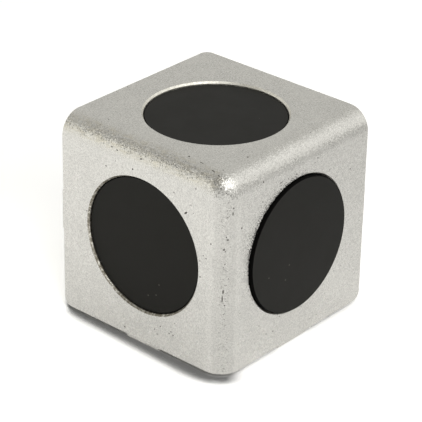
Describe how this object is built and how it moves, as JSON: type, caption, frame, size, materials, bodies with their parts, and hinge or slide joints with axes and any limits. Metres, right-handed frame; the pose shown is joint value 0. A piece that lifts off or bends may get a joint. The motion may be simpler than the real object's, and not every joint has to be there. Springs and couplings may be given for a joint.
{
  "type": "three way corner connector",
  "caption": "Die-cast cube that joins three slotted aluminium profiles at a right angle corner, with a round plastic cap over each screw bore.",
  "frame": {"origin": "middle of the cube, where the axes of the three profiles cross", "axes": "+X, +Y and -Z run along the three profiles, out of the seats that they stand against; -X, -Y and +Z face the caps"},
  "size_m": [0.0457, 0.0464, 0.0457],
  "materials": {
    "cast_aluminium": "satin",
    "black_plastic": "matte"
  },
  "bodies": {
    "root": {"corner_cube": "cast_aluminium", "cover_cap_top": "black_plastic", "cover_cap_left": "black_plastic", "cover_cap_right": "black_plastic"}
  },
  "joints": []
}
